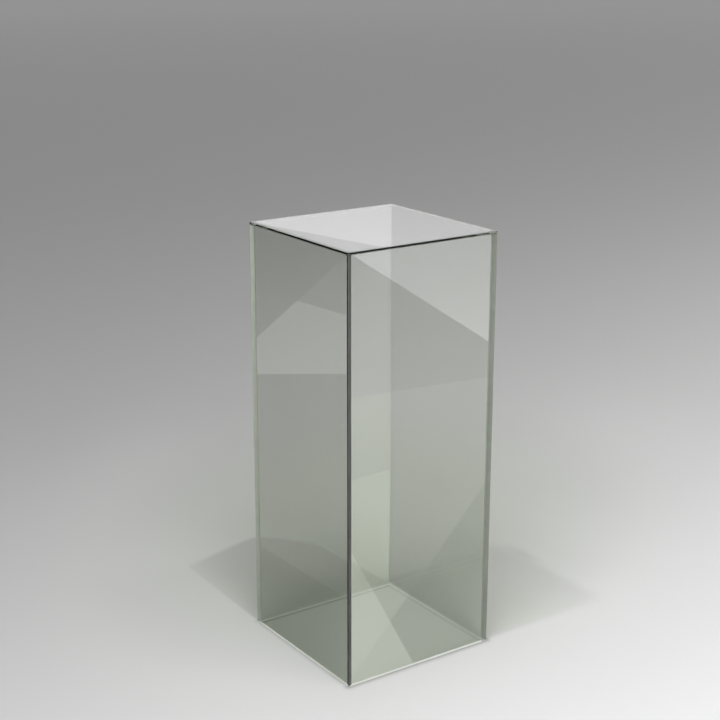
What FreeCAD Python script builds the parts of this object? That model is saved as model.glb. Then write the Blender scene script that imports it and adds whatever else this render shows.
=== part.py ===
import FreeCAD, Part
import math
import os

# Clear acrylic display plinth: a five-sided box, open underneath, that stands on the
# polished bottom edges of its walls. Four identical wall panels meet in mitred vertical
# corners, a thinner top panel lies flush on the four wall tops, and every joint is filled
# by a thin layer of clear acrylic cement.
# Frame: origin at the centre of the footprint on the floor, +Z up, front wall facing -Y.

doc = FreeCAD.newDocument("acrylic_plinth")

# ---------------------------------------------------------------- driving dimensions, mm
sheet = doc.addObject("Spreadsheet::Sheet", "dims")
ROWS = [
    ("side", "400"),        # outside width and depth of the square plan
    ("height", "1000"),     # floor to the top face
    ("wall", "12"),         # wall sheet thickness
    ("deck", "6"),          # top sheet thickness
    ("bond", "0.3"),        # cement layer in every joint
    ("ease", "0.8"),        # easing of the outer vertical corners, measured along each face
    ("arris", "0.6"),       # polished arris on the top rim and on the bottom edges
]
for i, (name, value) in enumerate(ROWS, start=1):
    sheet.set("A%d" % i, name)
    sheet.set("B%d" % i, value)
    sheet.setAlias("B%d" % i, name)
doc.recompute()

# Expressions that several pieces share.
HALF = "dims.side / 2"
# A mitre face stands half a cement layer off the diagonal; along the face that is bond / sqrt(2).
OFFSET = "dims.bond / sqrt(2)"
WALL_TOP = "dims.height - dims.deck - dims.bond"


def value_of(alias):
    return float(sheet.get(alias))


def plane(body, role):
    for feature in body.Origin.OriginFeatures:
        if feature.Role == role:
            return feature
    raise RuntimeError("no origin plane " + role)


def attached_sketch(body, name):
    sketch = body.newObject("Sketcher::SketchObject", name)
    sketch.AttachmentSupport = [(plane(body, "XY_Plane"), "")]
    sketch.MapMode = "FlatFace"
    return sketch


def mitred_profile(body, name):
    """Plan of one side of the box: outer face on -Y, eased corners, mitre faces, inner face."""
    import Sketcher

    sketch = attached_sketch(body, name)
    half, t = value_of("side") / 2.0, value_of("wall")
    ease, q = value_of("ease"), value_of("bond") / math.sqrt(2.0)
    right = [
        (half - ease, -half),
        (half - (ease + q) / 2.0, -half + (ease - q) / 2.0),
        (half - t - q, -half + t),
    ]
    points = right + [(-x, y) for x, y in reversed(right)]
    for i in range(6):
        a, b = points[i], points[(i + 1) % 6]
        sketch.addGeometry(
            Part.LineSegment(FreeCAD.Vector(a[0], a[1], 0), FreeCAD.Vector(b[0], b[1], 0)), False
        )
    for i in range(6):
        sketch.addConstraint(Sketcher.Constraint("Coincident", i, 2, (i + 1) % 6, 1))
    # start points 0, 1, 2 are the right-hand corners; 5, 4, 3 are their mirror images
    for i in range(3):
        sketch.addConstraint(Sketcher.Constraint("Symmetric", i, 1, 5 - i, 1, -2))
    bind = [
        ("outer", HALF + " - dims.ease", HALF),
        ("eased", HALF + " - (dims.ease + " + OFFSET + ") / 2", HALF + " - (dims.ease - " + OFFSET + ") / 2"),
        ("inner", HALF + " - dims.wall - " + OFFSET, HALF + " - dims.wall"),
    ]
    for i, (key, along, depth) in enumerate(bind):
        x, y = points[i]
        n = sketch.addConstraint(Sketcher.Constraint("DistanceX", -1, 1, i, 1, x))
        sketch.renameConstraint(n, key + "_x")
        sketch.setExpression("Constraints." + key + "_x", along)
        n = sketch.addConstraint(Sketcher.Constraint("DistanceY", i, 1, -1, 1, -y))
        sketch.renameConstraint(n, key + "_y")
        sketch.setExpression("Constraints." + key + "_y", depth)
    return sketch


def edge_names(shape, test):
    names = []
    for i, edge in enumerate(shape.Edges, start=1):
        ends = [v.Point for v in edge.Vertexes]
        if len(ends) == 2 and test(*ends):
            names.append("Edge%d" % i)
    return names


def turned(body, quarter_turns):
    body.Placement = FreeCAD.Placement(
        FreeCAD.Vector(0, 0, 0), FreeCAD.Rotation(FreeCAD.Vector(0, 0, 1), 90.0 * quarter_turns)
    )


pieces = []


def wall_panel(label, quarter_turns):
    """Upright panel with two mitred vertical edges and a polished, arrised bottom edge."""
    body = doc.addObject("PartDesign::Body", label)
    body.Label = label
    sketch = mitred_profile(body, label + "_plan")
    doc.recompute()
    pad = body.newObject("PartDesign::Pad", label + "_sheet")
    pad.Profile = sketch
    pad.setExpression("Length", WALL_TOP)
    doc.recompute()
    blank = pad.Shape.Volume
    half, t = value_of("side") / 2.0, value_of("wall")

    def bottom_long(a, b):
        if max(abs(a.z), abs(b.z)) > 1e-6 or abs(a.y - b.y) > 1e-6:
            return False
        return abs(a.y + half) < 1e-6 or abs(a.y + half - t) < 1e-6

    chosen = edge_names(pad.Shape, bottom_long)
    if len(chosen) != 2:
        raise RuntimeError("bottom edges of " + label)
    arris = body.newObject("PartDesign::Chamfer", label + "_bottom_arris")
    arris.Base = (pad, chosen)
    arris.setExpression("Size", "dims.arris")
    doc.recompute()
    if not arris.Shape.Volume < blank:
        raise RuntimeError("no arris on " + label)
    turned(body, quarter_turns)
    pieces.append(body)


def top_panel(label):
    """Flat deck, flush with the walls, with eased corners and a polished arris on its top rim."""
    import Sketcher

    body = doc.addObject("PartDesign::Body", label)
    body.Label = label
    sketch = attached_sketch(body, label + "_plan")
    half = value_of("side") / 2.0
    corners = [(-half, -half), (half, -half), (half, half), (-half, half)]
    for i in range(4):
        a, b = corners[i], corners[(i + 1) % 4]
        sketch.addGeometry(
            Part.LineSegment(FreeCAD.Vector(a[0], a[1], 0), FreeCAD.Vector(b[0], b[1], 0)), False
        )
    for i in range(4):
        sketch.addConstraint(Sketcher.Constraint("Coincident", i, 2, (i + 1) % 4, 1))
    sketch.addConstraint(Sketcher.Constraint("Horizontal", 0))
    sketch.addConstraint(Sketcher.Constraint("Vertical", 1))
    sketch.addConstraint(Sketcher.Constraint("Horizontal", 2))
    sketch.addConstraint(Sketcher.Constraint("Vertical", 3))
    sketch.addConstraint(Sketcher.Constraint("Symmetric", 0, 1, 1, 2, -1, 1))
    n = sketch.addConstraint(Sketcher.Constraint("DistanceX", 0, 1, 0, 2, 2 * half))
    sketch.renameConstraint(n, "width")
    sketch.setExpression("Constraints.width", "dims.side")
    n = sketch.addConstraint(Sketcher.Constraint("DistanceY", 1, 1, 1, 2, 2 * half))
    sketch.renameConstraint(n, "depth")
    sketch.setExpression("Constraints.depth", "dims.side")
    doc.recompute()
    pad = body.newObject("PartDesign::Pad", label + "_sheet")
    pad.Profile = sketch
    pad.setExpression("Length", "dims.deck")
    doc.recompute()
    chosen = edge_names(pad.Shape, lambda a, b: abs(a.x - b.x) < 1e-6 and abs(a.y - b.y) < 1e-6)
    if len(chosen) != 4:
        raise RuntimeError("corners of " + label)
    eased = body.newObject("PartDesign::Chamfer", label + "_eased_corners")
    eased.Base = (pad, chosen)
    eased.setExpression("Size", "dims.ease")
    doc.recompute()
    deck = value_of("deck")
    rim = edge_names(eased.Shape, lambda a, b: abs(a.z - deck) < 1e-6 and abs(b.z - deck) < 1e-6)
    if len(rim) != 8:
        raise RuntimeError("rim of " + label)
    arris = body.newObject("PartDesign::Chamfer", label + "_rim_arris")
    arris.Base = (eased, rim)
    arris.setExpression("Size", "dims.arris")
    doc.recompute()
    if not arris.Shape.Volume < eased.Shape.Volume < pad.Shape.Volume:
        raise RuntimeError("edges of " + label)
    body.setExpression("Placement.Base.z", "dims.height - dims.deck")
    pieces.append(body)


def top_bond(label, quarter_turns):
    """Cement layer between one wall's top edge and the underside of the deck."""
    body = doc.addObject("PartDesign::Body", label)
    body.Label = label
    sketch = mitred_profile(body, label + "_plan")
    doc.recompute()
    pad = body.newObject("PartDesign::Pad", label + "_layer")
    pad.Profile = sketch
    pad.setExpression("Length", "dims.bond")
    doc.recompute()
    turned(body, quarter_turns)
    body.setExpression("Placement.Base.z", WALL_TOP)
    pieces.append(body)


def corner_bond(label, quarter_turns):
    """Cement layer in one mitred corner: an upright strip on the diagonal, from the eased
    outer edge to the inner corner, floor to the underside of the deck."""
    strip = doc.addObject("Part::Box", label)
    strip.Label = label
    strip.setExpression("Length", "(2 * dims.wall + " + OFFSET + " - dims.ease) / sqrt(2)")
    strip.setExpression("Width", "dims.bond")
    strip.setExpression("Height", "dims.height - dims.deck")
    # Quarter turn 0 is the front right corner, where the strip runs inward at 135 degrees.
    # Its lower corner lies half a cement layer to the right of the diagonal.
    strip.Placement = FreeCAD.Placement(
        FreeCAD.Vector(0, 0, 0), FreeCAD.Rotation(FreeCAD.Vector(0, 0, 1), 135.0 + 90.0 * quarter_turns)
    )
    out = HALF + " - dims.ease / 2"
    off = "dims.bond / (2 * sqrt(2))"
    more, less = "(" + out + " + " + off + ")", "(" + out + " - " + off + ")"
    corner_x, corner_y = [
        (more, "-" + less),
        (less, more),
        ("-" + more, less),
        ("-" + less, "-" + more),
    ][quarter_turns]
    strip.setExpression("Placement.Base.x", corner_x)
    strip.setExpression("Placement.Base.y", corner_y)
    doc.recompute()
    pieces.append(strip)


# Quarter turns about +Z carry the front (-Y) to the right (+X), the back (+Y) and the left (-X).
for turns, name in enumerate(["front_wall_panel", "right_wall_panel", "back_wall_panel", "left_wall_panel"]):
    wall_panel(name, turns)
top_panel("top_panel")
for turns, name in enumerate(
    ["front_right_corner_bond", "back_right_corner_bond", "back_left_corner_bond", "front_left_corner_bond"]
):
    corner_bond(name, turns)
for turns, name in enumerate(["front_top_bond", "right_top_bond", "back_top_bond", "left_top_bond"]):
    top_bond(name, turns)

doc.recompute()

# ---------------------------------------------------------------- tests before writing
for obj in doc.Objects:
    state = [str(s) for s in obj.State]
    if "Invalid" in state or "Error" in state:
        raise RuntimeError("%s is %s" % (obj.Label, state))
for piece in pieces:
    shape = piece.Shape
    if shape.isNull() or not shape.isValid() or len(shape.Solids) != 1:
        raise RuntimeError("bad shape: " + piece.Label)
for i, first in enumerate(pieces):
    for second in pieces[i + 1:]:
        shared = first.Shape.common(second.Shape).Volume
        if shared > 1e-3:
            raise RuntimeError("%s and %s share %.4f mm3" % (first.Label, second.Label, shared))
box = pieces[0].Shape.BoundBox
for piece in pieces[1:]:
    box.add(piece.Shape.BoundBox)
if max(abs(box.XLength - value_of("side")), abs(box.YLength - value_of("side")), abs(box.ZLength - value_of("height"))) > 1e-4:
    raise RuntimeError("overall size %s" % box)

os.makedirs("parts", exist_ok=True)
for piece in pieces:
    piece.Shape.exportStep("parts/" + piece.Label + ".step")
    b = piece.Shape.BoundBox
    print(
        "%-24s %10.1f mm3   x %8.3f %8.3f  y %8.3f %8.3f  z %8.3f %8.3f"
        % (piece.Label, piece.Shape.Volume, b.XMin, b.XMax, b.YMin, b.YMax, b.ZMin, b.ZMax)
    )
print("pieces:", len(pieces))
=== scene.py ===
import math
import random

import bmesh
import bpy
from mathutils import Matrix, Vector

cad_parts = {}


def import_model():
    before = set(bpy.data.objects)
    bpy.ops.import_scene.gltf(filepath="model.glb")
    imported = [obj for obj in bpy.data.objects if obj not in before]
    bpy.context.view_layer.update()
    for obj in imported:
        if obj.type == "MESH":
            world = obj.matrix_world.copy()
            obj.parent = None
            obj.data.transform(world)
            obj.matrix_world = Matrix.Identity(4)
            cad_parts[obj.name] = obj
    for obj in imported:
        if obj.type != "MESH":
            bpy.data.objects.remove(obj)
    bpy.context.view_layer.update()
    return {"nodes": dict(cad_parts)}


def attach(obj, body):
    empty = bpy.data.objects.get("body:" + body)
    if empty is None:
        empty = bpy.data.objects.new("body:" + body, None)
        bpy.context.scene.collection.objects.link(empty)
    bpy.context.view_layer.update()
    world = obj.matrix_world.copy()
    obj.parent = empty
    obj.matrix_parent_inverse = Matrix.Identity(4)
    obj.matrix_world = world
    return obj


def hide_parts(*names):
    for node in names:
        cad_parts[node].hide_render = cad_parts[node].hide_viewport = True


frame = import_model()
scene = bpy.context.scene
nodes = frame["nodes"]
rng = random.Random(11)

SIDE = 0.400
WALL = 0.012
DECK = 0.006
BOND = 0.0003
TALL = 1.000


# ---------------------------------------------------------------- helpers

def link(ob):
    scene.collection.objects.link(ob)
    return ob


def mesh_object(name, verts, faces, material=None):
    me = bpy.data.meshes.new(name)
    me.from_pydata([tuple(v) for v in verts], [], faces)
    me.update()
    ob = link(bpy.data.objects.new(name, me))
    if material is not None:
        me.materials.append(material)
    return ob


def new_material(name):
    m = bpy.data.materials.new(name)
    m.use_nodes = True
    nt = m.node_tree
    return m, nt, nt.nodes["Principled BSDF"], nt.nodes["Material Output"]


def math_node(nt, op, *vals, clamp=False):
    n = nt.nodes.new("ShaderNodeMath")
    n.operation = op
    n.use_clamp = clamp
    for i, v in enumerate(vals):
        if isinstance(v, (int, float)):
            n.inputs[i].default_value = v
        else:
            nt.links.new(v, n.inputs[i])
    return n.outputs[0]


def dot_node(nt, vec, direction):
    n = nt.nodes.new("ShaderNodeVectorMath")
    n.operation = "DOT_PRODUCT"
    nt.links.new(vec, n.inputs[0])
    n.inputs[1].default_value = direction
    return n.outputs["Value"]


def step_node(nt, value, lo, hi, a=0.0, b=1.0):
    """Smooth change from a to b as value goes from lo to hi."""
    n = nt.nodes.new("ShaderNodeMapRange")
    n.interpolation_type = "SMOOTHSTEP"
    nt.links.new(value, n.inputs["Value"])
    for key, v in (("From Min", lo), ("From Max", hi), ("To Min", a), ("To Max", b)):
        n.inputs[key].default_value = v
    return n.outputs["Result"]


def position(nt):
    geo = nt.nodes.new("ShaderNodeNewGeometry")
    sep = nt.nodes.new("ShaderNodeSeparateXYZ")
    nt.links.new(geo.outputs["Position"], sep.inputs[0])
    return geo.outputs["Position"], sep.outputs["X"], sep.outputs["Y"], sep.outputs["Z"]


def grey(nt, r, g=None, b=None):
    n = nt.nodes.new("ShaderNodeCombineColor")
    for i, v in enumerate((r, g or r, b or r)):
        nt.links.new(v, n.inputs[i])
    return n.outputs[0]


def noise_node(nt, vec, scale, detail=2.0, rough=0.5):
    n = nt.nodes.new("ShaderNodeTexNoise")
    nt.links.new(vec, n.inputs["Vector"])
    n.inputs["Scale"].default_value = scale
    n.inputs["Detail"].default_value = detail
    n.inputs["Roughness"].default_value = rough
    return n.outputs["Fac"]


# ---------------------------------------------------------------- camera

FOCAL = 1481.334
EYE = Vector((-1.883147, -2.677249, 1.658904))
YAW, PITCH, ROLL = (math.radians(a) for a in (34.66735, 16.53893, 0.05208))
FWD = Vector((math.sin(YAW) * math.cos(PITCH), math.cos(YAW) * math.cos(PITCH), -math.sin(PITCH)))
LEVEL = Vector((math.cos(YAW), -math.sin(YAW), 0.0))
RISE = LEVEL.cross(FWD)
RIGHT = math.cos(ROLL) * LEVEL + math.sin(ROLL) * RISE
UP = -math.sin(ROLL) * LEVEL + math.cos(ROLL) * RISE


def make_camera():
    cam = bpy.data.cameras.new("photo_camera")
    ob = link(bpy.data.objects.new("photo_camera", cam))
    cam.sensor_width = 36.0
    cam.lens = FOCAL / 720.0 * 36.0
    m = Matrix(((RIGHT.x, UP.x, -FWD.x), (RIGHT.y, UP.y, -FWD.y), (RIGHT.z, UP.z, -FWD.z))).to_4x4()
    m.translation = EYE
    ob.matrix_world = m
    scene.camera = ob


make_camera()
scene.view_settings.view_transform = "Standard"


# ---------------------------------------------------------------- materials

LAMP_TINT = (0.705, 0.724, 0.691)


def acrylic_material():
    m, nt, p, out = new_material("clear_acrylic_sheet")
    pos, x, y, z = position(nt)
    p.inputs["Transmission Weight"].default_value = 1.0
    p.inputs["IOR"].default_value = 1.49
    p.inputs["Roughness"].default_value = 0.0
    # faint unevenness of cast sheet and a trace of dust
    cast = noise_node(nt, pos, 6.0, 3.0)
    dust = noise_node(nt, pos, 900.0, 1.0)
    clean = math_node(nt, "SUBTRACT", step_node(nt, cast, 0.2, 0.8, 0.992, 1.0), step_node(nt, dust, 0.70, 0.82, 0.0, 0.03))
    nt.links.new(grey(nt, clean), p.inputs["Base Color"])
    va = nt.nodes.new("ShaderNodeVolumeAbsorption")
    va.inputs["Color"].default_value = (0.21, 0.31, 0.11, 1.0)
    va.inputs["Density"].default_value = 12.0
    nt.links.new(va.outputs[0], out.inputs["Volume"])
    # light that lamps send through the sheet arrives dimmed and tinted
    lp = nt.nodes.new("ShaderNodeLightPath")
    through = math_node(nt, "MAXIMUM", lp.outputs["Is Shadow Ray"], lp.outputs["Is Diffuse Ray"])
    tr = nt.nodes.new("ShaderNodeBsdfTransparent")
    tr.inputs["Color"].default_value = (*LAMP_TINT, 1.0)
    # the underside of each wall is left as sawn: matt and pale; painted shade makes it darker on the back and right
    # walls, and a painted glow (emission) lights it on the front and left, strongest on the front
    sawn = math_node(nt, "LESS_THAN", z, 0.0004)
    marks = noise_node(nt, pos, 1400.0, 2.0)
    facing = math_node(nt, "LESS_THAN", y, WALL - SIDE / 2)
    far_walls = math_node(nt, "GREATER_THAN", math_node(nt, "MAXIMUM", x, y), SIDE / 2 - WALL)
    pale = math_node(nt, "MULTIPLY", step_node(nt, marks, 0.3, 0.7, 0.88, 0.98), math_node(nt, "MULTIPLY_ADD", far_walls, -0.12, 1.0))
    glow_strength = math_node(nt, "MULTIPLY", math_node(nt, "MULTIPLY_ADD", facing, 0.14, 0.12), math_node(nt, "SUBTRACT", 1.0, far_walls))
    matt = nt.nodes.new("ShaderNodeBsdfDiffuse")
    nt.links.new(grey(nt, math_node(nt, "MULTIPLY", pale, 0.99), pale, math_node(nt, "MULTIPLY", pale, 0.97)), matt.inputs["Color"])
    bright = nt.nodes.new("ShaderNodeEmission")
    bright.inputs["Color"].default_value = (0.98, 1.0, 0.95, 1.0)
    nt.links.new(glow_strength, bright.inputs["Strength"])
    both = nt.nodes.new("ShaderNodeAddShader")
    nt.links.new(matt.outputs[0], both.inputs[0])
    nt.links.new(bright.outputs[0], both.inputs[1])
    sawn_edge = nt.nodes.new("ShaderNodeMixShader")
    nt.links.new(sawn, sawn_edge.inputs[0])
    nt.links.new(p.outputs[0], sawn_edge.inputs[1])
    nt.links.new(both.outputs[0], sawn_edge.inputs[2])
    # painted light on the mitre at the front corner: a milky matt patch, lighter higher up and darker at the foot,
    # stands in for light carried through the corner
    lean = math_node(nt, "SUBTRACT", x, y)
    near = math_node(nt, "MULTIPLY", math_node(nt, "LESS_THAN", x, -0.1875), math_node(nt, "LESS_THAN", y, -0.1875))
    near = math_node(nt, "MULTIPLY", near, math_node(nt, "LESS_THAN", math_node(nt, "ABSOLUTE", lean), 0.0005))
    front = step_node(nt, lean, -0.0001, 0.0001)
    full = step_node(nt, z, 0.03, 0.12, 1.0, 0.0)
    part = math_node(nt, "MULTIPLY", math_node(nt, "MULTIPLY_ADD", front, 0.85, 0.15), math_node(nt, "MULTIPLY_ADD", z, 0.14, 0.28))
    corner_light_mask = math_node(nt, "MULTIPLY", near, math_node(nt, "MAXIMUM", part, math_node(nt, "MULTIPLY", full, 0.97)))
    corner_light = nt.nodes.new("ShaderNodeBsdfDiffuse")
    corner_light_tone = step_node(nt, noise_node(nt, pos, 80.0, 2.0), 0.3, 0.7, 0.46, 0.54)
    thin = math_node(nt, "MULTIPLY", math_node(nt, "MULTIPLY_ADD", full, -0.62, 1.0), math_node(nt, "SUBTRACT", 1.0, math_node(nt, "MULTIPLY", math_node(nt, "SUBTRACT", 1.0, front), math_node(nt, "MULTIPLY", full, 0.55))))
    corner_light_tone = math_node(nt, "MULTIPLY", corner_light_tone, math_node(nt, "MULTIPLY_ADD", z, 0.15, 0.70))
    nt.links.new(grey(nt, math_node(nt, "MULTIPLY", corner_light_tone, thin)), corner_light.inputs["Color"])
    edge = nt.nodes.new("ShaderNodeMixShader")
    nt.links.new(corner_light_mask, edge.inputs[0])
    nt.links.new(sawn_edge.outputs[0], edge.inputs[1])
    nt.links.new(corner_light.outputs[0], edge.inputs[2])
    mix = nt.nodes.new("ShaderNodeMixShader")
    nt.links.new(through, mix.inputs[0])
    nt.links.new(edge.outputs[0], mix.inputs[1])
    nt.links.new(tr.outputs[0], mix.inputs[2])
    nt.links.new(mix.outputs[0], out.inputs["Surface"])
    return m


def cement_material(name, low_end, rise, inside=0.0, corner_shade=1.0, ends=1.0, tint=(0.98, 1.0, 0.955)):
    """Milky cement, its tones carrying painted light and shade; low_end and rise give its (left, right) tones at the
    foot and over the height, inside its painted lift at the inner edge on the right, bare what is left of it under
    painted shade in the front corner, ends what is left under painted shade where it meets the front sheets."""
    m, nt, p, out = new_material(name)
    pos, x, y, z = position(nt)
    side = step_node(nt, x, -0.2, 0.2)
    high = math_node(nt, "MULTIPLY_ADD", z, rise[0], low_end[0])
    low = math_node(nt, "MULTIPLY_ADD", z, rise[1], low_end[1])
    level = math_node(nt, "ADD", math_node(nt, "MULTIPLY", high, math_node(nt, "SUBTRACT", 1.0, side)), math_node(nt, "MULTIPLY", low, side))
    cloud = step_node(nt, noise_node(nt, pos, 60.0, 3.0), 0.25, 0.75, 0.94, 1.06)
    bubble = nt.nodes.new("ShaderNodeTexVoronoi")
    nt.links.new(pos, bubble.inputs["Vector"])
    bubble.inputs["Scale"].default_value = 220.0
    spots = step_node(nt, bubble.outputs["Distance"], 0.10, 0.22, 1.15, 1.0)
    level = math_node(nt, "MULTIPLY", level, math_node(nt, "MULTIPLY", cloud, spots))
    reach = math_node(nt, "MAXIMUM", math_node(nt, "ABSOLUTE", x), math_node(nt, "ABSOLUTE", y))
    level = math_node(nt, "MULTIPLY", level, math_node(nt, "MULTIPLY_ADD", math_node(nt, "MULTIPLY", side, step_node(nt, reach, SIDE / 2 - WALL, SIDE / 2 - WALL + 0.0026, 1.0, 0.0)), inside, 1.0))
    corner = step_node(nt, math_node(nt, "MAXIMUM", x, y), -SIDE / 2 + 0.004, -SIDE / 2 + 0.016)
    level = math_node(nt, "MULTIPLY", level, math_node(nt, "MULTIPLY_ADD", corner, 1.0 - corner_shade, corner_shade))
    level = math_node(nt, "MULTIPLY", level, step_node(nt, math_node(nt, "MINIMUM", x, y), -SIDE / 2 + 0.0125, -SIDE / 2 + 0.021, ends, 1.0))
    nt.links.new(grey(nt, *(math_node(nt, "MULTIPLY", level, k) for k in tint)), p.inputs["Base Color"])
    p.inputs["Roughness"].default_value = 0.5
    p.inputs["IOR"].default_value = 1.49
    p.inputs["Specular IOR Level"].default_value = 0.0
    return m


ACRYLIC = acrylic_material()
# painted light and shade in the cement tones: the corner films lighter higher up and on the left, the front top bonds a
# shaded copy darker than the lit back ones and darker still in the front corner, the back top bonds darker where they
# meet the front sheets
CEMENT = cement_material("acrylic_cement_film_shaded", (0.49, 0.30), (0.24, 0.08), inside=0.8)
TOP_CEMENT_FRONT_SHADED = cement_material("acrylic_cement_top_front_shaded", (0.42, 0.42), (0.0, 0.0), corner_shade=0.2)
TOP_CEMENT_BACK_LIT = cement_material("acrylic_cement_top_back_lit", (0.84, 0.84), (0.0, 0.0), ends=0.25, tint=(1.0, 0.99, 1.0))


def finish_with(name, material):
    ob = nodes[name]
    for s in ob.material_slots:
        s.material = material
    if not ob.material_slots:
        ob.data.materials.append(material)


for name in ("front_wall_panel", "right_wall_panel", "back_wall_panel", "left_wall_panel", "top_panel"):
    finish_with(name, ACRYLIC)
for name in ("front_top_bond", "left_top_bond"):
    finish_with(name, TOP_CEMENT_FRONT_SHADED)
for name in ("right_top_bond", "back_top_bond"):
    finish_with(name, TOP_CEMENT_BACK_LIT)
for name in ("front_top_bond", "left_top_bond", "right_top_bond", "back_top_bond"):
    nodes[name].visible_shadow = False


# ---------------------------------------------------------------- cement films

def corner_film(node, sx, sy, inner):
    """Cement film on the mitre diagonal of one vertical corner, with the slightly wandering edge that cement runs to."""
    a, b = SIDE / 2 - 0.0006, SIDE / 2 - WALL + inner
    n = Vector((sx, -sy, 0)).normalized() * 0.00004
    z0, z1 = 0.0046, TALL - DECK - BOND - 0.0004
    rows = 80
    edge = [(a - rng.random() * 0.0002, b + rng.random() * 0.0002) for _ in range(rows + 1)]
    verts, faces = [], []
    for side in (1, -1):
        for i in range(rows + 1):
            z = z0 + (z1 - z0) * i / rows
            for d in edge[i]:
                verts.append(Vector((sx * d, sy * d, z)) + side * n)
    s = 2 * (rows + 1)
    for i in range(rows):
        k = 2 * i
        faces.append((k, k + 1, k + 3, k + 2))
        faces.append((s + k, s + k + 2, s + k + 3, s + k + 1))
        faces.append((k, k + 2, s + k + 2, s + k))
        faces.append((k + 1, s + k + 1, s + k + 3, k + 3))
    faces.append((0, s, s + 1, 1))
    k = 2 * rows
    faces.append((k, k + 1, s + k + 1, s + k))
    ob = mesh_object(node + "_film", verts, faces, CEMENT)
    ob.visible_shadow = False
    bm = bmesh.new()
    bm.from_mesh(ob.data)
    bmesh.ops.recalc_face_normals(bm, faces=bm.faces)
    bm.to_mesh(ob.data)
    bm.free()
    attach(ob, "root")
    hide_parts(node)
    return ob


corner_film("front_left_corner_bond", -1, -1, 0.0002)
corner_film("front_right_corner_bond", 1, -1, 0.0002)
corner_film("back_left_corner_bond", -1, 1, 0.0001)
corner_film("back_right_corner_bond", 1, 1, 0.0004)


# ---------------------------------------------------------------- stage

FLOOR_Z = -0.0005


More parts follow.
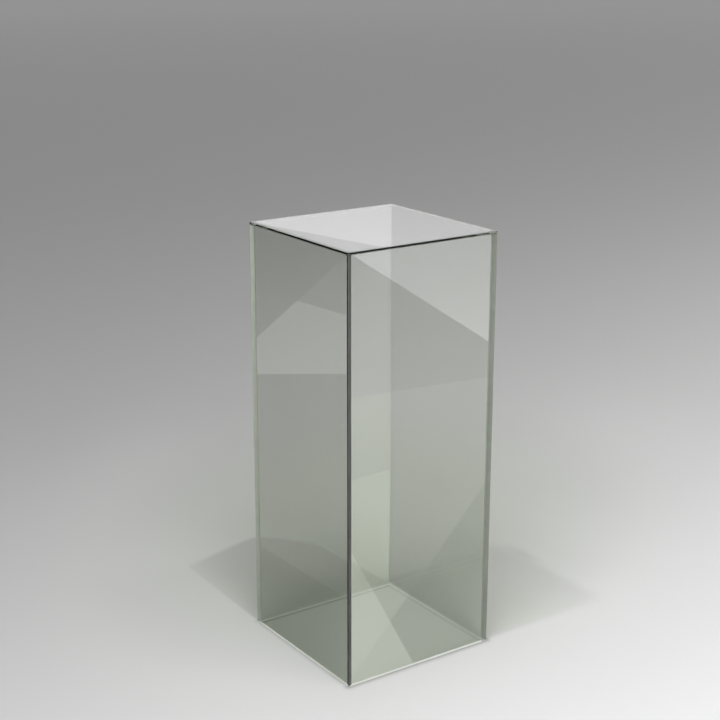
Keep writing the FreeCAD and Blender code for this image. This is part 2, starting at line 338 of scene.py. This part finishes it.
def floor():
    """Matt studio floor with painted light and shade: a painted pool of light, pale towards the front and greying away
    towards the back, and painted shade where the walls stand on it.
    """
    m, nt, p, out = new_material("studio_floor")
    p.inputs["Roughness"].default_value = 0.95
    p.inputs["Specular IOR Level"].default_value = 0.0
    pos, x, y, z = position(nt)
    # painted pool of light: a smooth falloff of the floor tone, brightest towards the front, with a slight lift very
    # far off
    sub = nt.nodes.new("ShaderNodeVectorMath")
    sub.operation = "SUBTRACT"
    nt.links.new(pos, sub.inputs[0])
    sub.inputs[1].default_value = (-10.0, -5.044, 0.0)
    th, s1, s2, power = 1.866, 1.229, 6.723, 2.553
    u = dot_node(nt, sub.outputs[0], (math.cos(th) / s1, math.sin(th) / s1, 0.0))
    v = dot_node(nt, sub.outputs[0], (-math.sin(th) / s2, math.cos(th) / s2, 0.0))
    r = math_node(nt, "SQRT", math_node(nt, "ADD", math_node(nt, "MULTIPLY", u, u), math_node(nt, "MULTIPLY", v, v)))
    g = math_node(nt, "DIVIDE", 4.0, math_node(nt, "ADD", math_node(nt, "POWER", r, power), 1.0))
    d = nt.nodes.new("ShaderNodeVectorMath")
    d.operation = "LENGTH"
    nt.links.new(pos, d.inputs[0])
    far = math_node(nt, "MULTIPLY", math_node(nt, "DIVIDE", math_node(nt, "SUBTRACT", d.outputs["Value"], 6.0), 20.0, clamp=True), 0.064)
    tone = math_node(nt, "ADD", math_node(nt, "ADD", g, 0.222), far)
    mott = math_node(nt, "MULTIPLY_ADD", noise_node(nt, pos, 9.0, 4.0), 0.012, 0.994)
    tone = math_node(nt, "MINIMUM", math_node(nt, "MULTIPLY", tone, mott), 0.88)
    # painted contact shadow: a dark line and soft shade along the feet of the walls
    reach = math_node(nt, "MAXIMUM", math_node(nt, "ABSOLUTE", x), math_node(nt, "ABSOLUTE", y))
    dx = math_node(nt, "MAXIMUM", math_node(nt, "SUBTRACT", math_node(nt, "ABSOLUTE", x), SIDE / 2), 0.0)
    dy = math_node(nt, "MAXIMUM", math_node(nt, "SUBTRACT", math_node(nt, "ABSOLUTE", y), SIDE / 2), 0.0)
    off = math_node(nt, "SQRT", math_node(nt, "ADD", math_node(nt, "MULTIPLY", dx, dx), math_node(nt, "MULTIPLY", dy, dy)))
    within = math_node(nt, "LESS_THAN", reach, SIDE / 2 - WALL)
    soft = math_node(nt, "MULTIPLY", math_node(nt, "EXPONENT", math_node(nt, "MULTIPLY", off, -1 / 0.12)), 0.06)
    line = 0.0
    for side, other, amount, width in ((y, x, 0.36, 0.0088), (x, y, 0.22, 0.0065)):
        fall = math_node(nt, "DIVIDE", off, width)
        edge = math_node(nt, "MULTIPLY", math_node(nt, "EXPONENT", math_node(nt, "MULTIPLY", math_node(nt, "MULTIPLY", fall, fall), -1.0)), amount)
        lit = step_node(nt, side, WALL - SIDE / 2 - 0.006, WALL - SIDE / 2, 1.0, 0.0)
        line = math_node(nt, "MAXIMUM", math_node(nt, "MULTIPLY", edge, lit), line)
    shade = math_node(nt, "MULTIPLY", math_node(nt, "ADD", line, soft), math_node(nt, "SUBTRACT", 1.0, within))
    # painted shade inside: a thin dark line at the foot of the two far walls; painted light behind the back wall,
    # standing for light thrown back off its foot
    inner = SIDE / 2 - WALL
    thin = math_node(nt, "MAXIMUM", step_node(nt, y, inner - 0.010, inner - 0.003, 0.0, 0.30), step_node(nt, x, inner - 0.010, inner - 0.003, 0.0, 0.17))
    thin = math_node(nt, "MULTIPLY", thin, within)
    glow = math_node(nt, "MULTIPLY", math_node(nt, "EXPONENT", math_node(nt, "MULTIPLY", dy, -1 / 0.026)), 0.58)
    glow = math_node(nt, "MULTIPLY", glow, math_node(nt, "MULTIPLY", step_node(nt, y, SIDE / 2 - WALL, SIDE / 2 - WALL + 0.002), step_node(nt, math_node(nt, "ABSOLUTE", x), SIDE / 2 - 0.03, SIDE / 2 + 0.01, 1.0, 0.0)))
    tone = math_node(nt, "MULTIPLY", tone, math_node(nt, "ADD", math_node(nt, "SUBTRACT", math_node(nt, "SUBTRACT", 1.0, shade), thin), glow))
    # painted light: the floor under the box a little lighter
    tone = math_node(nt, "MULTIPLY", tone, math_node(nt, "MULTIPLY_ADD", within, 0.03, 1.0))
    # painted shadow of the front lamp, which casts none itself: under the box, and behind it out to a rounded end
    back = step_node(nt, y, SIDE / 2 - 0.006, SIDE / 2 + 0.002)
    for across, along, edge, blur in ((-1.0, 0.03, 0.205, 0.006), (-0.303, 1.0, 0.6389, 0.016), (0.0, 1.0, 0.652, 0.02), (1.0, 1.0, 0.733, 0.026), (1.89, 1.0, 0.856, 0.04), (1.0, 0.0492, 0.2085, 0.007)):
        where = math_node(nt, "MULTIPLY_ADD", x, across, math_node(nt, "MULTIPLY", y, along))
        back = math_node(nt, "MULTIPLY", back, step_node(nt, where, edge - blur, edge + blur, 1.0, 0.0))
    bend = math_node(nt, "DIVIDE", math_node(nt, "SUBTRACT", x, 0.015), 0.25)
    deep = math_node(nt, "MULTIPLY_ADD", math_node(nt, "MULTIPLY", bend, bend), -0.215, 0.215)
    ends = 0.0
    for middle, width, amount in ((-0.18, 0.1, 0.21), (0.173, 0.03, 0.20)):
        apart = math_node(nt, "DIVIDE", math_node(nt, "SUBTRACT", x, middle), width)
        ends = math_node(nt, "ADD", math_node(nt, "MULTIPLY", math_node(nt, "EXPONENT", math_node(nt, "MULTIPLY", math_node(nt, "MULTIPLY", apart, apart), -1.0)), amount), ends)
    deep = math_node(nt, "MULTIPLY_ADD", ends, math_node(nt, "EXPONENT", math_node(nt, "MULTIPLY", dy, -1 / 0.115)), deep)
    left = math_node(nt, "SUBTRACT", math_node(nt, "MULTIPLY", x, 0.788), math_node(nt, "MULTIPLY", y, 0.545))
    under = math_node(nt, "MULTIPLY", math_node(nt, "LESS_THAN", reach, SIDE / 2), step_node(nt, left, -0.13, -0.04, 0.185, 0.13))
    tone = math_node(nt, "MULTIPLY", tone, math_node(nt, "SUBTRACT", 1.0, math_node(nt, "MAXIMUM", under, math_node(nt, "MULTIPLY", back, deep))))
    # painted light and shade patches where shades overlap or thin out
    painted_patches = 1.0
    for cx, cy, turn, long, wide, amount in ((0.36, 0.185, 0.0, 0.13, 0.028, 0.09), (0.605, 0.135, 90.0, 0.065, 0.018, -0.10), (0.10, 0.70, 0.0, 0.15, 0.12, -0.05),
                                             (0.04, 1.33, 55.3, 0.42, 0.23, 0.075), (1.55, 0.68, 55.3, 0.5, 0.3, 0.045)):
        c, d = math.cos(math.radians(turn)), math.sin(math.radians(turn))
        a = math_node(nt, "DIVIDE", math_node(nt, "SUBTRACT", dot_node(nt, pos, (c, d, 0.0)), cx * c + cy * d), long)
        b = math_node(nt, "DIVIDE", math_node(nt, "SUBTRACT", dot_node(nt, pos, (-d, c, 0.0)), cy * c - cx * d), wide)
        near = math_node(nt, "ADD", math_node(nt, "MULTIPLY", a, a), math_node(nt, "MULTIPLY", b, b))
        painted_patches = math_node(nt, "MULTIPLY_ADD", math_node(nt, "EXPONENT", math_node(nt, "MULTIPLY", near, -1.0)), amount, painted_patches)
    tone = math_node(nt, "MULTIPLY", tone, painted_patches)
    # painted greenish cast of the light that has come through the sheets
    cast = math_node(nt, "MULTIPLY", step_node(nt, x, -0.23, -0.17), step_node(nt, x, 0.35, 0.65, 1.0, 0.0))
    cast = math_node(nt, "MULTIPLY", cast, math_node(nt, "MULTIPLY", step_node(nt, y, -0.22, -0.16), step_node(nt, y, 0.45, 0.75, 1.0, 0.0)))
    cast = math_node(nt, "MULTIPLY", cast, math_node(nt, "MULTIPLY_ADD", within, -0.4, 1.0))
    c, d = math.cos(0.7025), math.sin(0.7025)
    a = math_node(nt, "DIVIDE", math_node(nt, "SUBTRACT", dot_node(nt, pos, (c, d, 0.0)), 0.4247 * c + 0.5993 * d), 0.9025)
    b = math_node(nt, "DIVIDE", math_node(nt, "SUBTRACT", dot_node(nt, pos, (-d, c, 0.0)), 0.5993 * c - 0.4247 * d), 0.6224)
    near = math_node(nt, "ADD", math_node(nt, "MULTIPLY", a, a), math_node(nt, "MULTIPLY", b, b))
    wash = math_node(nt, "EXPONENT", math_node(nt, "MULTIPLY", math_node(nt, "MULTIPLY", near, near), -1.0))
    cast = math_node(nt, "MAXIMUM", cast, wash)
    red = math_node(nt, "MULTIPLY", tone, math_node(nt, "MULTIPLY_ADD", cast, -0.026, 1.0))
    blue = math_node(nt, "MULTIPLY", tone, math_node(nt, "MULTIPLY_ADD", cast, -0.07, 1.0))
    nt.links.new(grey(nt, red, tone, blue), p.inputs["Base Color"])
    s = 60.0
    ob = mesh_object("studio_floor", [(-s, -s, FLOOR_Z), (s, -s, FLOOR_Z), (s, s, FLOOR_Z), (-s, s, FLOOR_Z)], [(0, 1, 2, 3)], m)


floor()


def world():
    """Studio surround seen in the polished faces: bright low down, dim overhead, one broad panel at the back."""
    w = bpy.data.worlds.new("studio_surround")
    scene.world = w
    w.use_nodes = True
    nt = w.node_tree
    bg = nt.nodes["Background"]
    tc = nt.nodes.new("ShaderNodeTexCoord")
    vec = tc.outputs["Generated"]
    sep = nt.nodes.new("ShaderNodeSeparateXYZ")
    nt.links.new(vec, sep.inputs[0])
    level = step_node(nt, sep.outputs["Z"], 0.18, 0.235, 0.79, 1.03)
    level = math_node(nt, "MULTIPLY", level, step_node(nt, sep.outputs["Z"], 0.35, 0.80, 1.0, 0.40))
    panel = math_node(nt, "MULTIPLY",
                      step_node(nt, dot_node(nt, vec, (-0.80975, 0.58677, -0.00213)), -0.0006, 0.0006),
                      step_node(nt, dot_node(nt, vec, (0.26951, 0.06228, -0.96098)), -0.0003, 0.0003))
    level = math_node(nt, "MULTIPLY_ADD", panel, 0.25, level)
    nt.links.new(grey(nt, math_node(nt, "MULTIPLY", level, 1.02), level, math_node(nt, "MULTIPLY", level, 1.04)), bg.inputs["Color"])
    bg.inputs["Strength"].default_value = 1.0
    w.cycles_visibility.diffuse = False


world()


def lamp(name, azimuth, elevation, radius, share):
    """Round studio lamp far off; share is its part of the light on an open floor."""
    az, el, ra = (math.radians(v) for v in (azimuth, elevation, radius))
    c = Vector((math.cos(el) * math.cos(az), math.cos(el) * math.sin(az), math.sin(el)))
    u = c.cross(Vector((0, 0, 1))).normalized()
    v = c.cross(u)
    n, up = 2000, 0.0
    for k in range(n):
        cz = 1.0 - (1.0 - math.cos(ra)) * (k + 0.5) / n
        sz = math.sqrt(1.0 - cz * cz)
        d = cz * c + sz * (math.cos(k * 2.399963) * u + math.sin(k * 2.399963) * v)
        up += max(d.z, 0.0) / n
    across = 0.5 * (1.0 + math.cos(ra))
    l = bpy.data.lights.new(name, "SUN")
    l.energy = math.pi * share * across / up
    l.angle = 2.0 * ra
    ob = link(bpy.data.objects.new(name, l))
    ob.rotation_euler = (-c).to_track_quat("-Z", "Y").to_euler()
    ob.visible_transmission = False
    ob.visible_glossy = False
    return ob


# the front lamp casts no shadow: its shadow is painted into the floor
lamp("lamp_front", 269, 68.8, 1.0, 0.13).data.use_shadow = False
lamp("lamp_left", 182.5, 68.6, 1.2, 0.12)
lamp("lamp_left_low", 194, 60, 5, 0.06)
lamp("lamp_right", 304, 64, 6, 0.085)
lamp("lamp_high", 235, 55, 32, 0.175)
lamp("lamp_window", 235, 10, 45, 0.44)


def mirrored(px, py, axis, face, z):
    """Where the sight line through a frame point, mirrored off the wall face, comes down to height z."""
    d = FWD + RIGHT * ((px - 360.0) / FOCAL) - UP * ((py - 360.0) / FOCAL)
    p = EYE + d * ((face - EYE[axis]) / d[axis])
    d[axis] = -d[axis]
    p = p + d * ((z - p.z) / d.z)
    p[axis] = min(p[axis], face - 0.0008)
    return p


CARDS = 0


def card(name, axis, corners, levels, solid=False, tint=(1.0, 1.0, 1.0)):
    """Low glowing card met only by mirror reflections, a painted reflection laid out by where its corners show in the
    wall face.
    A see-through one adds its light to what lies under it."""
    global CARDS
    CARDS += 1
    z = 0.0006 + 0.0002 * CARDS
    m = bpy.data.materials.new(name)
    m.use_nodes = True
    nt = m.node_tree
    out = nt.nodes["Material Output"]
    nt.nodes.remove(nt.nodes["Principled BSDF"])
    em = nt.nodes.new("ShaderNodeEmission")
    em.inputs["Color"].default_value = (*tint, 1.0)
    at = nt.nodes.new("ShaderNodeAttribute")
    at.attribute_name = "level"
    nt.links.new(at.outputs["Fac"], em.inputs["Strength"])
    if solid:
        nt.links.new(em.outputs[0], out.inputs["Surface"])
    else:
        tr = nt.nodes.new("ShaderNodeBsdfTransparent")
        add = nt.nodes.new("ShaderNodeAddShader")
        nt.links.new(em.outputs[0], add.inputs[0])
        nt.links.new(tr.outputs[0], add.inputs[1])
        nt.links.new(add.outputs[0], out.inputs["Surface"])
    ob = mesh_object(name, [mirrored(px, py, axis, -SIDE / 2, z) for px, py in corners], [tuple(range(len(corners)))], m)
    layer = ob.data.attributes.new("level", "FLOAT", "POINT")
    for i in range(len(corners)):
        layer.data[i].value = levels[i] if len(levels) > 1 else levels[0]
    for flag in ("visible_camera", "visible_diffuse", "visible_transmission", "visible_shadow", "visible_volume_scatter"):
        setattr(ob, flag, False)
    return ob


X, Y = 0, 1
# painted reflections in the left face: a near-black card that darkens what the face mirrors, and glowing bands
card("card_left_dark", X, [(235, 205), (352, 238), (352, 689), (254, 619)], [0.02], solid=True)
card("card_left_band", X, [(256.5, 289.2), (346.5, 315.2), (346.5, 374), (257.2, 374)], [0.22])
card("card_left_sweep", X, [(256.3, 337.7), (346.5, 256.1), (346.5, 374), (257.2, 374)], [0.42])
card("card_left_both", X, [(256.3, 337.7), (296.8, 301.0), (346.5, 315.2), (346.5, 374), (257.2, 374)], [0.33, 0.42, 0.55, 0.55, 0.33])
card("card_left_top", X, [(255, 226), (346.5, 254.9), (296.8, 301.0), (256.5, 289.2)], [0.14])
card("card_left_middle", X, [(257.2, 374), (346.5, 374), (346.5, 440), (258.3, 440)], [0.12, 0.12, 0.0, 0.0])
card("card_left_foot", X, [(260.2, 505), (346.5, 557), (346.5, 598), (260.2, 546)], [0.0, 0.0, 0.3, 0.3])

# painted reflections in the front face: a black card, and glowing bands and wedges
card("card_right_dark", Y, [(485.3, 483), (442.6, 545), (484, 545)], [0.0], solid=True)
card("card_right_low", Y, [(442.6, 545), (409.7, 593.6), (482, 637.5), (484, 545)], [0.3, 0.75, 0.85, 0.1], solid=True)
card("card_high_left", Y, [(351.6, 254.9), (391, 279.6), (391, 249.2)], [5.9])
card("card_high_right", Y, [(391, 249.2), (391, 279.6), (488.7, 341.3), (491.2, 234.3)], [4.2, 4.2, 3.9, 3.9])
card("card_upper_left", Y, [(351.2, 254.9), (391, 279.6), (391, 392), (351.2, 398.3)], [2.3, 2.2, 1.4, 1.4])
card("card_upper_right", Y, [(391, 279.6), (488.7, 341.3), (487.8, 376.9), (391, 392)], [1.3, 0.7, 0.5, 0.4])
card("card_middle_left", Y, [(351.2, 398.3), (391, 392), (390.5, 468.9), (351.2, 480.5)], [2.4, 2.4, 1.25, 1.25], tint=(0.90, 1.0, 0.80))
card("card_middle_right", Y, [(391, 392), (487.8, 376.9), (485.3, 470), (390.5, 475)], [1.15, 1.15, 0.0, 0.0])
card("card_lower_right", Y, [(390.3, 505), (470, 505), (409.7, 593.6), (389.1, 581.4)], [0.0, 0.0, 0.3, 0.3])
card("card_lower_left", Y, [(351.2, 480.5), (390.5, 468.9), (389.1, 581.4), (351.2, 592.7)], [2.35, 2.4, 2.6, 2.3], tint=(0.84, 1.0, 0.75))
card("card_foot", Y, [(351.2, 592.7), (389.1, 581.4), (482, 637.6), (481.5, 639.5), (351.2, 684.5)], [1.2], tint=(0.95, 1.0, 0.88))
card("card_foot_upper", Y, [(389.1, 581.4), (409.7, 593.6), (353.5, 675), (351.2, 675), (351.2, 592.7)], [0.75], tint=(0.95, 1.0, 0.88))
card("card_foot_back", Y, [(370, 587.2), (389.1, 581.4), (409.7, 593.6), (390.2, 621.6)], [0.55], tint=(0.95, 1.0, 0.88))
card("card_wedge_upper", Y, [(351.2, 552.5), (352.7, 555), (370.9, 587.2), (351.2, 592.7)], [1.6], tint=(0.95, 1.0, 0.87))
card("card_foot_wedge", Y, [(351.2, 592.7), (370.9, 587.2), (413.3, 662.7), (351.2, 684)], [2.4], tint=(0.95, 1.0, 0.87))
